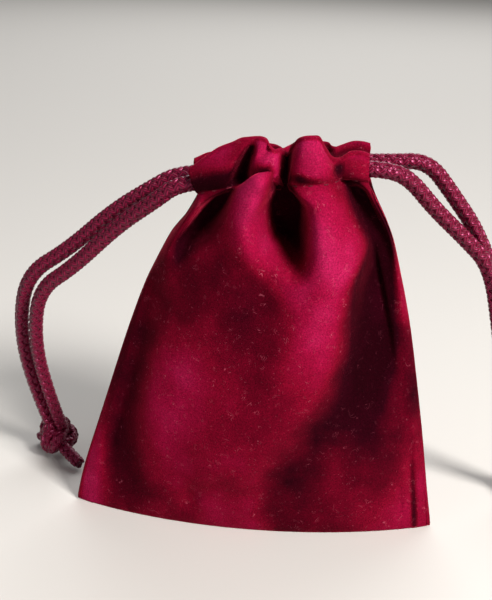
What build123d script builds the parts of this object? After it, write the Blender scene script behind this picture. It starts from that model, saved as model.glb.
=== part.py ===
from build123d import *
import math
import os

# Drawstring gift pouch of velvet, drawn shut and standing upright, with two drawcords.
# Millimetres, +Z up. The origin is the centre of the base, on the surface that the pouch stands on.
# The front of the pouch faces -Y. Left is -X and right is +X, as seen from the front.

# velvet bag
CLOTH = 1.2
SEAM_WIDTH = 3.0
BASE_HALF_WIDTH = 36.0
# height, left seam, right seam, belly depth each way, fullness at the quarter points
LEVELS = [
    (0.0, -BASE_HALF_WIDTH, BASE_HALF_WIDTH, 6.7, 0.78),
    (20.0, -31.4, 33.4, 11.0, 0.76),
    (40.0, -25.6, 29.4, 12.25, 0.76),
    (57.0, -18.9, 24.6, 11.4, 0.82),
    (67.0, -14.4, 19.8, 10.0, 0.93),
]

# drawstring casings: a straight tunnel along each side of the mouth
CASING_LEFT = -13.5
CASING_RIGHT = 18.8
CASING_BOTTOM = 67.2
CASING_HEIGHT = 11.4
CASING_DEPTH = 7.7
CASING_WALL = 0.9
CASING_ROUND = 2.4
MOUTH_GAP = 4.6

# side seam allowances inside the bag, and the stitching
ALLOWANCE_START = 1.0
ALLOWANCE_END = 6.6
ALLOWANCE_THICKNESS = 1.2
STITCH_PITCH = 3.0
STITCH_LENGTH = 2.2
STITCH_THICKNESS = 0.5

# drawcords: each one is a loop through both casings, with both ends out on its own side
CORD_DIAMETER = 3.1
CORD_OFFSET = 6.6
LEFT_CORD_HEIGHT = 70.6
RIGHT_CORD_HEIGHT = 75.5
TURN_CLEARANCE = 2.5
TURN_RADIUS = 3.1
EXIT_STANDOFF = 0.3
RUN_SHARE = 0.45

# knots and cut tails at the cord ends
KNOT_RADIUS = 4.7
LEFT_KNOT = (-45.0, 17.8, 4.85)
RIGHT_KNOT = (57.0, 13.4, 4.85)
LEFT_TAIL_TIPS = [(-37.6, 10.4, 1.8), (-51.0, 23.6, 1.9)]
RIGHT_TAIL_TIPS = [(63.5, 18.9, 1.8), (63.6, 7.2, 1.9)]

# free strands, from the casing's end to the knot
LEFT_EXIT = CASING_LEFT - EXIT_STANDOFF
RIGHT_EXIT = CASING_RIGHT + EXIT_STANDOFF
ROUTES = {
    "left_cord_front_strand": [
        (LEFT_EXIT, -CORD_OFFSET, LEFT_CORD_HEIGHT),
        (-21.6, -CORD_OFFSET, LEFT_CORD_HEIGHT),
        (-33.2, -3.2, 62.6),
        (-43.8, 3.2, 48.2),
        (-47.0, 9.4, 33.6),
        (-45.6, 13.6, 19.0),
        (-43.2, 17.9, 5.6),
    ],
    "left_cord_back_strand": [
        (LEFT_EXIT, CORD_OFFSET, LEFT_CORD_HEIGHT),
        (-21.6, CORD_OFFSET, LEFT_CORD_HEIGHT),
        (-34.0, 7.4, 62.4),
        (-47.0, 9.0, 49.2),
        (-51.0, 12.0, 33.0),
        (-50.2, 15.0, 18.8),
        (-46.8, 17.7, 5.6),
    ],
    "right_cord_front_strand": [
        (RIGHT_EXIT, -CORD_OFFSET, RIGHT_CORD_HEIGHT),
        (29.0, -CORD_OFFSET, RIGHT_CORD_HEIGHT),
        (38.0, -2.8, 65.6),
        (43.6, 3.4, 50.6),
        (46.6, 8.2, 35.2),
        (50.4, 11.4, 20.0),
        (55.2, 13.4, 5.6),
    ],
    "right_cord_back_strand": [
        (RIGHT_EXIT, CORD_OFFSET, RIGHT_CORD_HEIGHT),
        (29.2, CORD_OFFSET, RIGHT_CORD_HEIGHT),
        (38.8, 7.4, 64.6),
        (46.2, 9.2, 50.0),
        (50.4, 11.2, 34.4),
        (54.4, 12.8, 19.2),
        (58.8, 13.4, 5.6),
    ],
}


def half_section(level, side, inset=0.0, thinner=0.0, past=0.0):
    """Half of a level section: the belly curve on one side of the seam plane, closed along that plane."""
    height, left, right, depth, fullness = level
    left = left + inset
    right = right - inset
    depth = side * (depth - thinner)
    quarter = (right - left) / 4
    belly = Spline(
        (left, 0, height),
        (left + quarter, fullness * depth, height),
        (left + 2 * quarter, depth, height),
        (right - quarter, fullness * depth, height),
        (right, 0, height),
    )
    closing = Polyline(
        (right, 0, height),
        (right, -side * past, height),
        (left, -side * past, height),
        (left, 0, height),
    ) if past else Line((right, 0, height), (left, 0, height))
    return make_face(belly + closing)


def seam_strip(levels, side, start, end, half_thickness):
    """An upright strip that follows one side seam: side -1 is the left seam, +1 the right one."""
    faces = []
    for height, left, right, _, _ in levels:
        seam = left if side < 0 else right
        outer = seam - side * start
        inner = seam - side * end
        corners = Polyline(
            (outer, -half_thickness, height),
            (inner, -half_thickness, height),
            (inner, half_thickness, height),
            (outer, half_thickness, height),
            close=True,
        )
        faces.append(make_face(corners))
    return loft(faces, ruled=True)


def seam_allowance(side):
    """Two layers of cloth that point into the bag along a side seam."""
    bottom = LEVELS[0]
    first = (3.0,) + between(bottom, LEVELS[1], 3.0 / LEVELS[1][0])[1:]
    return seam_strip([first] + LEVELS[1:], side, ALLOWANCE_START, ALLOWANCE_END, ALLOWANCE_THICKNESS / 2)


def between(low, high, share):
    """A level part of the way between two others."""
    return tuple(a + (b - a) * share for a, b in zip(low, high))


def seam_point(height, side):
    """The x of a side seam at a height, on straight lines between the levels."""
    for low, high in zip(LEVELS, LEVELS[1:]):
        if height <= high[0]:
            level = between(low, high, (height - low[0]) / (high[0] - low[0]))
            return level[1] if side < 0 else level[2]
    return LEVELS[-1][1] if side < 0 else LEVELS[-1][2]


def seam_stitches(side):
    """Lockstitches through a side seam's allowance, each a short bar that goes right through it."""
    reach = ALLOWANCE_END - 1.2
    bars = []
    height = 8.0
    while height < LEVELS[-1][0] - 2:
        x = seam_point(height, side) - side * reach
        bars.append(Pos(x, 0, height) * Box(STITCH_THICKNESS, ALLOWANCE_THICKNESS + 0.4, STITCH_LENGTH))
        height += STITCH_PITCH
    return bars


def panel(side, cutters):
    """One half of the velvet bag, from the fold under the base up to the casing."""
    outer = loft([half_section(level, side) for level in LEVELS])
    floor = (CLOTH,) + between(LEVELS[0], LEVELS[1], CLOTH / LEVELS[1][0])[1:]
    above = (LEVELS[-1][0] + 1,) + LEVELS[-1][1:]
    inner_levels = [floor] + LEVELS[1:-1] + [above]
    inner = loft([half_section(level, side, SEAM_WIDTH, CLOTH, 1.0) for level in inner_levels])
    body = outer - inner
    for cutter in cutters:
        body = body - cutter
    return body


def casing(side):
    """The hem of one panel, turned over to the inside as a tunnel for the cords."""
    middle_y = side * (MOUTH_GAP + CASING_DEPTH) / 2
    middle_z = CASING_BOTTOM + CASING_HEIGHT / 2
    outside = RectangleRounded(CASING_DEPTH, CASING_HEIGHT, CASING_ROUND)
    tunnel_size = (CASING_DEPTH - 2 * CASING_WALL, CASING_HEIGHT - 2 * CASING_WALL)
    tunnel = RectangleRounded(*tunnel_size, CASING_ROUND - CASING_WALL)
    profile = Plane.YZ * Pos(middle_y, middle_z) * (outside - tunnel)
    return Pos(CASING_LEFT, 0, 0) * extrude(profile, CASING_RIGHT - CASING_LEFT)


def casing_stitches(side):
    """The row of stitches that holds the hem down, along the outer face of a casing."""
    face_y = side * (MOUTH_GAP / 2 + CASING_DEPTH)
    height = CASING_BOTTOM + CASING_ROUND + 0.4
    count = int((CASING_RIGHT - CASING_LEFT - STITCH_LENGTH) / STITCH_PITCH)
    first = (CASING_LEFT + CASING_RIGHT - (count - 1) * STITCH_PITCH) / 2
    half = STITCH_THICKNESS / 2
    bars = []
    for index in range(count):
        bar = Box(STITCH_LENGTH, STITCH_THICKNESS, STITCH_THICKNESS)
        bars.append(Pos(first + index * STITCH_PITCH, face_y + side * half, height) * bar)
    return Compound(bars)


def corner_radii(points):
    """The largest arc that each corner's two runs allow, sharing each run with the next corner."""
    radii = []
    for before, corner, after in zip(points, points[1:], points[2:]):
        first = Vector(*corner) - Vector(*before)
        second = Vector(*after) - Vector(*corner)
        half_turn = math.radians(first.get_angle(second)) / 2
        radii.append(RUN_SHARE * min(first.length, second.length) / math.tan(half_turn))
    return radii


def tube(name, points, radii):
    """A round cord along straight runs joined by tangent arcs."""
    path = FilletPolyline(*points, radius=radii)
    start = Plane(origin=path @ 0, z_dir=path % 0)
    cord = sweep(start * Circle(CORD_DIAMETER / 2), path=path)
    section = math.pi * CORD_DIAMETER**2 / 4
    print(name, "radii", [round(r, 1) for r in radii], "length", round(path.length, 1),
          "volume over section times length", round(cord.volume / (section * path.length), 4))
    return cord


def channel_run(side):
    """The part of a drawcord inside the casings: along one, across the far end and back along the other."""
    height = LEFT_CORD_HEIGHT if side < 0 else RIGHT_CORD_HEIGHT
    start = LEFT_EXIT if side < 0 else RIGHT_EXIT
    casing_end = CASING_RIGHT if side < 0 else CASING_LEFT
    turn = casing_end - side * (TURN_CLEARANCE + CORD_DIAMETER / 2)
    points = [
        (start, -CORD_OFFSET, height),
        (turn, -CORD_OFFSET, height),
        (turn, CORD_OFFSET, height),
        (start, CORD_OFFSET, height),
    ]
    name = "left_cord_casing_run" if side < 0 else "right_cord_casing_run"
    return tube(name, points, [TURN_RADIUS, TURN_RADIUS])


def knot(place):
    """The envelope of the overhand knot that joins a cord's two strands."""
    return Pos(*place) * Sphere(KNOT_RADIUS)


def strand(name, ball):
    """A free strand, up to the knot's surface."""
    points = ROUTES[name]
    return tube(name, points, corner_radii(points)) - ball


def tails(place, tips, ball):
    """The two cut ends of a cord below its knot, resting on the surface."""
    ends = []
    for tip in tips:
        axis = Vector(*tip) - Vector(*place)
        base = Plane(origin=place, z_dir=axis)
        ends.append(extrude(base * Circle(CORD_DIAMETER / 2), axis.length) - ball)
    return Compound([end.solid() for end in ends])


def main():
    allowances = {side: seam_allowance(side) for side in (-1, 1)}
    stitches = {side: seam_stitches(side) for side in (-1, 1)}
    nodes = {}
    for name, side in (("front_panel", -1), ("back_panel", 1)):
        nodes[name] = panel(side, allowances.values())
    for name, side in (("left", -1), ("right", 1)):
        strip = allowances[side]
        for bar in stitches[side]:
            strip = strip - bar
        nodes[name + "_seam_allowance"] = strip
        nodes[name + "_seam_stitches"] = Compound(stitches[side])
    for name, side in (("front", -1), ("back", 1)):
        nodes[name + "_casing"] = casing(side)
        nodes[name + "_casing_stitches"] = casing_stitches(side)
    for name, side, place, tips in (
        ("left", -1, LEFT_KNOT, LEFT_TAIL_TIPS),
        ("right", 1, RIGHT_KNOT, RIGHT_TAIL_TIPS),
    ):
        ball = knot(place)
        nodes[name + "_cord_casing_run"] = channel_run(side)
        nodes[name + "_cord_front_strand"] = strand(name + "_cord_front_strand", ball)
        nodes[name + "_cord_back_strand"] = strand(name + "_cord_back_strand", ball)
        nodes[name + "_cord_knot"] = ball
        nodes[name + "_cord_tails"] = tails(place, tips, ball)
    os.makedirs("parts", exist_ok=True)
    for name, shape in nodes.items():
        export_step(shape, "parts/" + name + ".step")


main()
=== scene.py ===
import math

import bpy
import numpy as np
from mathutils import Matrix, Vector


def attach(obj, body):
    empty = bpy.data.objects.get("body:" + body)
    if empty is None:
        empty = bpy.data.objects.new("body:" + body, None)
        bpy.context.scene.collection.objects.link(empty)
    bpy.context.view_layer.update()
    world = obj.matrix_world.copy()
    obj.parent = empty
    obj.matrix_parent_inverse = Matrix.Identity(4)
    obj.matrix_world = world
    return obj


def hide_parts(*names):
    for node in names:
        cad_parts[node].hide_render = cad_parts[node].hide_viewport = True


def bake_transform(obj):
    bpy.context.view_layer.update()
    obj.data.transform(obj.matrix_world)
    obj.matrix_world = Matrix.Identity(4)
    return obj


# Drawstring gift pouch of crimson velvet, drawn shut, with a braided cord pulled out at each side.
# Lengths in this script are millimetres until a mesh is made, and MM turns them into metres.

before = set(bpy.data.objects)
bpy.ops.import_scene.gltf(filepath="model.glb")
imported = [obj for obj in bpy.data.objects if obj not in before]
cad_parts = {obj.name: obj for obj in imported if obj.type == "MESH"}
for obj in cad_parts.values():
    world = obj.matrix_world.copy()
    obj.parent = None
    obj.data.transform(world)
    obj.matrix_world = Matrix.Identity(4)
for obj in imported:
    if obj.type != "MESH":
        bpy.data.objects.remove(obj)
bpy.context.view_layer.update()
MM = 0.001

# camera and light
CAMERA_TARGET = (-3.05, 4.75, 44.0)
CAMERA_DISTANCE = 214.0
CAMERA_ELEVATION = 20.0
CAMERA_AZIMUTH = 5.0
CAMERA_ROLL = 1.9
CAMERA_LENS = 66.0

# cords: the part inside the casing is squeezed by the gathers, and the cord in a knot is pulled tight
CORD_DIAMETER = 3.1
CORD_IN_CASING = 2.6
CORD_IN_KNOT = 2.8
CORD_STEP = 0.34
HIDDEN_CORD_STEP = 0.45
# size of a knot's trefoil: mean radius of its path, and how far the path swings about it
KNOT_RADIUS = 1.85
KNOT_SWING = 1.5
LEFT_KNOT = (-45.0, 17.8, 5.0)
RIGHT_KNOT = (57.0, 13.4, 5.0)
CORD_ROUTES = {
    "left_cord_front_strand": [
        (-12.5, -2.7, 68.7),
        (-16.0, -2.6, 68.0),
        (-19.6, -1.6, 64.8),
        (-27.5, 1.6, 58.6),
        (-37.0, 4.2, 48.8),
        (-44.6, 6.4, 43.0),
        (-46.8, 9.2, 32.0),
        (-46.0, 12.6, 19.6),
        (-43.8, 17.2, 7.4),
    ],
    "left_cord_back_strand": [
        (-12.5, 2.7, 69.3),
        (-16.6, 2.7, 68.8),
        (-20.8, 3.1, 66.2),
        (-29.0, 4.6, 60.6),
        (-38.5, 6.8, 51.6),
        (-47.5, 8.4, 45.4),
        (-50.4, 11.2, 34.0),
        (-49.6, 13.8, 20.5),
        (-46.2, 17.5, 7.0),
    ],
    "right_cord_front_strand": [
        (18.0, -2.7, 72.9),
        (22.0, -2.7, 73.0),
        (26.2, -1.1, 71.2),
        (31.2, 1.4, 65.2),
        (37.4, 3.4, 59.4),
        (43.0, 5.2, 53.6),
        (46.2, 7.6, 40.5),
        (49.6, 10.4, 24.0),
        (55.6, 13.2, 7.0),
    ],
    "right_cord_back_strand": [
        (18.0, 2.7, 73.0),
        (22.6, 2.7, 73.2),
        (29.5, 3.6, 73.6),
        (34.6, 5.2, 67.2),
        (40.2, 7.0, 59.6),
        (44.6, 8.6, 49.5),
        (47.4, 10.2, 37.0),
        (51.4, 11.8, 22.0),
        (58.4, 13.4, 7.0),
    ],
}
CASING_RUNS = {
    "left_cord_casing_run": [
        (-13.0, -2.7, 68.8),
        (-6.0, -2.3, 69.2),
        (2.0, -1.9, 68.5),
        (8.0, -1.9, 68.0),
        (12.6, -1.9, 67.6),
        (12.6, 1.9, 67.6),
        (8.0, 1.9, 68.0),
        (2.0, 1.9, 68.5),
        (-6.0, 2.3, 69.0),
        (-13.0, 2.7, 69.4),
    ],
    "right_cord_casing_run": [
        (18.6, -2.7, 72.9),
        (13.6, -2.6, 72.1),
        (6.0, -2.5, 72.0),
        (0.0, -2.4, 72.0),
        (-5.6, -2.4, 72.2),
        (-5.6, 2.4, 72.2),
        (0.0, 2.4, 72.0),
        (6.0, 2.5, 72.0),
        (13.0, 2.6, 72.3),
        (18.6, 2.7, 73.0),
    ],
}
TAILS = {
    "left_cord_tails": [
        [(-45.4, 17.4, 4.4), (-42.4, 15.0, 2.6), (-38.6, 11.4, 1.7)],
        [(-45.4, 18.4, 4.4), (-47.4, 20.6, 2.4), (-50.2, 22.8, 1.8)],
    ],
    "right_cord_tails": [
        [(57.2, 13.8, 4.4), (59.8, 15.8, 2.6), (62.8, 18.2, 1.8)],
        [(57.2, 13.0, 4.4), (60.0, 10.4, 2.6), (63.0, 8.0, 1.8)],
    ],
}

# velvet bag: height, left seam, right seam and belly depth towards the front and the back
LEVELS = [
    (0.0, -36.1, 36.0, 7.0, 6.8),
    (2.0, -35.9, 35.8, 8.0, 7.4),
    (9.0, -34.3, 34.6, 10.0, 9.0),
    (22.0, -30.4, 32.5, 12.2, 11.0),
    (40.0, -25.0, 29.2, 13.2, 11.8),
    (47.5, -22.6, 27.6, 13.2, 11.6),
    (52.0, -20.8, 26.5, 13.0, 11.2),
    (58.5, -17.7, 24.8, 12.6, 10.6),
    (62.3, -14.9, 23.3, 12.0, 10.0),
    (67.0, -12.6, 20.8, 11.0, 9.0),
    (72.0, -11.8, 18.6, 9.6, 8.4),
]
# mouth ring: plan and height of the stitch line, then plan and height of the casing's top edge
FRONT_RING = [
    (-11.6, -4.6, 66.9, -13.4, -3.8, 71.5),
    (-10.2, -5.8, 67.7, -10.9, -4.6, 73.6),
    (-8.2, -7.0, 68.4, -8.2, -5.0, 75.7),
    (-6.8, -7.4, 68.8, -5.6, -5.8, 77.0),
    (-5.6, -7.2, 69.1, -4.0, -6.2, 77.9),
    (-4.4, -7.0, 69.3, -2.6, -6.4, 78.2),
    (-3.2, -7.2, 69.6, -1.4, -6.6, 78.4),
    (-2.0, -7.8, 69.9, -0.3, -7.0, 78.5),
    (-0.8, -8.2, 70.2, 0.7, -7.4, 78.2),
    (0.4, -8.4, 70.4, 1.4, -7.8, 77.1),
    (1.6, -8.2, 70.4, 2.2, -8.0, 76.6),
    (2.5, -7.2, 70.0, 3.1, -7.2, 76.7),
    (3.0, -5.4, 69.5, 3.6, -5.4, 75.9),
    (3.9, -4.1, 69.2, 4.2, -4.1, 75.3),
    (4.6, -5.2, 69.8, 5.0, -5.0, 76.6),
    (4.8, -8.0, 70.3, 5.9, -7.6, 78.4),
    (6.6, -9.7, 70.7, 7.0, -9.2, 79.3),
    (9.8, -9.9, 71.0, 8.6, -9.5, 79.6),
    (12.0, -9.0, 71.2, 9.9, -8.8, 79.3),
    (13.4, -7.0, 71.3, 11.0, -7.6, 77.2),
    (13.8, -5.4, 71.2, 12.2, -6.1, 75.4),
    (14.3, -4.7, 71.0, 13.4, -4.8, 75.0),
    (15.2, -5.3, 71.1, 14.4, -4.2, 75.5),
    (16.4, -5.8, 71.3, 15.4, -3.6, 76.0),
    (17.6, -5.6, 71.1, 17.2, -3.5, 76.1),
    (18.8, -4.7, 70.8, 18.7, -3.6, 75.7),
]
BACK_RING = [
    (-11.8, 4.6, 67.0, -13.4, 3.9, 71.9),
    (-11.0, 5.5, 67.3, -10.8, 4.8, 73.0),
    (-8.6, 6.8, 67.6, -8.4, 5.6, 73.0),
    (-6.4, 6.2, 68.0, -6.2, 5.8, 73.6),
    (-5.4, 4.2, 68.2, -5.2, 4.2, 73.6),
    (-4.2, 6.4, 68.4, -4.0, 6.0, 74.0),
    (-1.6, 8.6, 68.8, -1.6, 7.8, 74.6),
    (1.0, 8.0, 69.2, 1.0, 7.4, 74.6),
    (2.4, 5.6, 69.4, 2.4, 5.4, 74.6),
    (3.0, 4.2, 69.4, 3.0, 4.2, 74.6),
    (3.8, 5.8, 69.4, 3.8, 5.4, 74.8),
    (5.6, 8.6, 69.8, 5.6, 7.8, 75.2),
    (8.6, 9.0, 70.0, 8.6, 8.2, 75.4),
    (11.0, 7.4, 70.2, 11.0, 6.8, 75.6),
    (11.8, 4.8, 70.3, 11.8, 4.8, 75.4),
    (12.6, 4.2, 70.4, 12.6, 4.0, 75.4),
    (13.6, 5.4, 70.6, 13.4, 4.6, 75.6),
    (15.8, 6.8, 70.8, 15.6, 4.9, 76.4),
    (17.6, 6.1, 70.9, 17.4, 4.2, 76.6),
    (18.8, 4.8, 70.9, 18.8, 3.8, 76.4),
]
# the cloth's grid: columns along the mouth, and rows of each stretch from the mouth's hem to the base
COLUMNS = 190
BODY_ROWS = 150
CASING_ROWS = 18
ROLL_ROWS = 7
HEM_ROWS = 12
BASE_ROWS = 6
CLOTH = 0.8
# casing: radius of its rolled top edge, how far it bulges over the cord, how deep its stitch line is
# sunk, how near the middle its folds may come, and where the hem hangs behind the cord
ROLL_RADIUS = 0.85
CASING_BULGE = 1.1
STITCH_SINK = 0.6
CASING_FOLD_LIMIT = 4.2
HEM_FROM_MIDDLE = 0.25
# belly: share of the height by which the mouth's gathers have run out, and how fast they blur on the way
GATHERS_RUN_OUT = 0.5
GATHERS_BLUR = 0.13
GATHERS_BLUR_POWER = 0.45
# folds: how far one may pass the middle, as a share of the other side's depth
OVER_MIDDLE = 0.35
# the stretch of the mouth that holds cords, and the room they need in front of the middle
CORDS_FROM = -14.0
CORDS_TO = 14.5
CORD_ROOM = 4.2
CORD_ROOM_SLOPE = 0.65
CORD_ROOM_HEIGHT = 66.5
# the overhanging ridge under the front casing: from x, to x, and how far it rises and stands out
OVERHANG_FROM = -6.8
OVERHANG_TO = 2.0
OVERHANG_RISE = 5.2
OVERHANG_OUT = 2.4
FLOOR_GAP = 0.12
# range of the painted shade (below 0) and painted highlight (above 0)
PAINTED_SHADING_RANGE = (-1.5, 1.1)
# turned-in edges beside the side seams, measured from the seam
TURNING_START = 0.9
TURNING_END = 3.4
TURNING_HALF = 0.4
TURNING_TOP = 61.0
SEAM_STITCH_AT = 1.7


def link(name, data):
    """A new object in the scene."""
    obj = bpy.data.objects.new(name, data)
    bpy.context.scene.collection.objects.link(obj)
    return obj


def new_material(name):
    """An empty node material with its shader, and a helper that adds nodes to it."""
    material = bpy.data.materials.new(name)
    material.use_nodes = True
    nodes = material.node_tree.nodes
    nodes.clear()
    output = nodes.new("ShaderNodeOutputMaterial")
    shader = nodes.new("ShaderNodeBsdfPrincipled")
    material.node_tree.links.new(shader.outputs[0], output.inputs[0])
    return material, shader


def add_node(material, kind, values=(), **settings):
    """A node with some of its settings and input values, given by name."""
    node = material.node_tree.nodes.new(kind)
    for key, value in settings.items():
        setattr(node, key, value)
    for key, value in dict(values).items():
        node.inputs[key].default_value = value
    return node


def join(material, source, target):
    """A link between two sockets of a material."""
    material.node_tree.links.new(source, target)


def ramp(material, source, stops, interpolation="LINEAR"):
    """A colour ramp fed by source, with (place, colour) stops."""
    node = add_node(material, "ShaderNodeValToRGB")
    node.color_ramp.interpolation = interpolation
    elements = node.color_ramp.elements
    while len(elements) < len(stops):
        elements.new(0.5)
    for element, (place, colour) in zip(elements, stops):
        element.position = place
        element.color = (*colour, 1.0)
    join(material, source, node.inputs[0])
    return node


def lint_mask(material, place):
    """Where the surface shows stray fibres: short fine curled lines, with a few specks between them."""
    curl = add_node(material, "ShaderNodeTexNoise", {"Scale": 420.0, "Detail": 1.0, "Distortion": 0.6})
    join(material, place, curl.inputs["Vector"])
    stops = []
    half_line = 0.006
    for level in (0.44, 0.50, 0.56):
        stops.append((level - half_line, (0.0, 0.0, 0.0)))
        stops.append((level, (1.0, 1.0, 1.0)))
        stops.append((level + half_line, (0.0, 0.0, 0.0)))
    fibre = ramp(material, curl.outputs[0], stops)
    where = add_node(material, "ShaderNodeTexNoise", {"Scale": 760.0, "Detail": 1.0})
    join(material, place, where.inputs["Vector"])
    some = ramp(material, where.outputs[0], [
        (0.60, (0.0, 0.0, 0.0)),
        (0.68, (0.65, 0.65, 0.65)),
    ])
    fibres = add_node(material, "ShaderNodeMath", operation="MULTIPLY")
    join(material, fibre.outputs[0], fibres.inputs[0])
    join(material, some.outputs[0], fibres.inputs[1])
    dots = add_node(material, "ShaderNodeTexVoronoi", {"Scale": 2100.0, "Randomness": 1.0})
    join(material, place, dots.inputs["Vector"])
    specks = ramp(material, dots.outputs["Distance"], [
        (0.0, (1.0, 1.0, 1.0)),
        (0.22, (0.0, 0.0, 0.0)),
    ])
    sparse = add_node(material, "ShaderNodeTexNoise", {"Scale": 1300.0, "Detail": 1.0})
    join(material, place, sparse.inputs["Vector"])
    chance = ramp(material, sparse.outputs[0], [
        (0.54, (0.0, 0.0, 0.0)),
        (0.66, (0.6, 0.6, 0.6)),
    ])
    speckled = add_node(material, "ShaderNodeMath", operation="MULTIPLY")
    join(material, specks.outputs[0], speckled.inputs[0])
    join(material, chance.outputs[0], speckled.inputs[1])
    either = add_node(material, "ShaderNodeMath", operation="MAXIMUM")
    join(material, fibres.outputs[0], either.inputs[0])
    join(material, speckled.outputs[0], either.inputs[1])
    return either.outputs[0]


def velvet_material():
    """Crimson velvet: painted shade and painted highlight from a point attribute, random patches, a fine
    pile, a pink sheen at grazing angles and fine lint.
    """
    material, shader = new_material("velvet")
    place = add_node(material, "ShaderNodeTexCoord").outputs["Object"]
    patches = add_node(material, "ShaderNodeTexNoise", {"Scale": 55.0, "Detail": 3.0, "Roughness": 0.55})
    join(material, place, patches.inputs["Vector"])
    # the point attribute holds painted shade in folds, hollows and gaps and painted highlight on ridges
    # and edges; random patches are added to it
    painted_shading = add_node(material, "ShaderNodeAttribute", attribute_name="painted_shading")
    shading_and_patches = add_node(material, "ShaderNodeMath", {1: 0.36}, operation="MULTIPLY_ADD")
    join(material, painted_shading.outputs["Fac"], shading_and_patches.inputs[0])
    join(material, patches.outputs[0], shading_and_patches.inputs[2])
    # colours from the painted deepest shade through crimson to the painted lit pink
    tone = ramp(material, shading_and_patches.outputs[0], [
        (0.00, (0.012, 0.0003, 0.0018)),
        (0.14, (0.020, 0.0005, 0.0032)),
        (0.34, (0.080, 0.0008, 0.0070)),
        (0.52, (0.175, 0.0018, 0.0150)),
        (0.70, (0.255, 0.0030, 0.0310)),
        (0.95, (0.390, 0.0110, 0.0760)),
    ])
    pile = add_node(material, "ShaderNodeTexNoise", {"Scale": 3600.0, "Detail": 2.0, "Roughness": 0.75})
    join(material, place, pile.inputs["Vector"])
    grain = ramp(material, pile.outputs[0], [
        (0.30, (0.55, 0.55, 0.55)),
        (0.70, (1.25, 1.25, 1.25)),
    ])
    tinted = add_node(material, "ShaderNodeMix", data_type="RGBA", blend_type="MULTIPLY")
    tinted.inputs[0].default_value = 1.0
    join(material, tone.outputs[0], tinted.inputs[6])
    join(material, grain.outputs[0], tinted.inputs[7])
    lint = lint_mask(material, place)
    # lint is dimmed where shade is painted
    lint_dimmed_in_shade = ramp(material, shading_and_patches.outputs[0], [
        (0.10, (0.25, 0.25, 0.25)),
        (0.50, (1.0, 1.0, 1.0)),
    ])
    lint_under_painted_shade = add_node(material, "ShaderNodeMath", operation="MULTIPLY")
    join(material, lint, lint_under_painted_shade.inputs[0])
    join(material, lint_dimmed_in_shade.outputs[0], lint_under_painted_shade.inputs[1])
    final = add_node(material, "ShaderNodeMix", data_type="RGBA")
    join(material, lint_under_painted_shade.outputs[0], final.inputs[0])
    join(material, tinted.outputs[2], final.inputs[6])
    final.inputs[7].default_value = (0.55, 0.10, 0.16, 1.0)
    join(material, final.outputs[2], shader.inputs["Base Color"])
    shader.inputs["Roughness"].default_value = 0.85
    shader.inputs["Specular IOR Level"].default_value = 0.04
    shader.inputs["Specular Tint"].default_value = (1.0, 0.25, 0.45, 1.0)
    shader.inputs["Sheen Weight"].default_value = 0.50
    shader.inputs["Sheen Roughness"].default_value = 0.24
    shader.inputs["Sheen Tint"].default_value = (0.88, 0.035, 0.10, 1.0)
    bump = add_node(material, "ShaderNodeBump", {"Strength": 0.55, "Distance": 0.00022})
    join(material, pile.outputs[0], bump.inputs["Height"])
    join(material, bump.outputs[0], shader.inputs["Normal"])
    return material


def cord_material():
    """Satin braid in plum: each yarn is a bundle of fine filaments with a soft highlight."""
    material, shader = new_material("cord")
    uv = add_node(material, "ShaderNodeTexCoord").outputs["UV"]
    fibres = add_node(
        material, "ShaderNodeTexWave", {"Scale": 2.4, "Distortion": 1.2, "Detail": 2.0},
        wave_type="BANDS", bands_direction="X",
    )
    join(material, uv, fibres.inputs["Vector"])
    tone = ramp(material, fibres.outputs[0], [
        (0.0, (0.048, 0.0010, 0.0070)),
        (0.6, (0.105, 0.0026, 0.0150)),
        (1.0, (0.190, 0.0080, 0.0360)),
    ])
    join(material, tone.outputs[0], shader.inputs["Base Color"])
    shader.inputs["Roughness"].default_value = 0.30
    shader.inputs["Specular IOR Level"].default_value = 0.50
    shader.inputs["Specular Tint"].default_value = (1.0, 0.26, 0.52, 1.0)
    shader.inputs["Sheen Weight"].default_value = 0.10
    shader.inputs["Sheen Roughness"].default_value = 0.3
    shader.inputs["Sheen Tint"].default_value = (0.85, 0.25, 0.5, 1.0)
    bump = add_node(material, "ShaderNodeBump", {"Strength": 0.5, "Distance": 0.00008})
    join(material, fibres.outputs[0], bump.inputs["Height"])
    join(material, bump.outputs[0], shader.inputs["Normal"])
    return material


def thread_material():
    """Dark crimson sewing thread with a fine twist."""
    material, shader = new_material("thread")
    place = add_node(material, "ShaderNodeTexCoord").outputs["Object"]
    twist = add_node(
        material, "ShaderNodeTexWave", {"Scale": 900.0, "Distortion": 0.6},
        wave_type="BANDS", bands_direction="DIAGONAL",
    )
    join(material, place, twist.inputs["Vector"])
    tone = ramp(material, twist.outputs[0], [
        (0.0, (0.050, 0.0010, 0.0060)),
        (1.0, (0.130, 0.0030, 0.0160)),
    ])
    join(material, tone.outputs[0], shader.inputs["Base Color"])
    shader.inputs["Roughness"].default_value = 0.6
    shader.inputs["Specular IOR Level"].default_value = 0.2
    bump = add_node(material, "ShaderNodeBump", {"Strength": 0.4, "Distance": 0.00005})
    join(material, twist.outputs[0], bump.inputs["Height"])
    join(material, bump.outputs[0], shader.inputs["Normal"])
    return material


def floor_material():
    """Matt warm grey."""
    material, shader = new_material("pale_floor")
    shader.inputs["Base Color"].default_value = (0.62, 0.60, 0.57, 1.0)
    shader.inputs["Roughness"].default_value = 0.8
    return material


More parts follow.
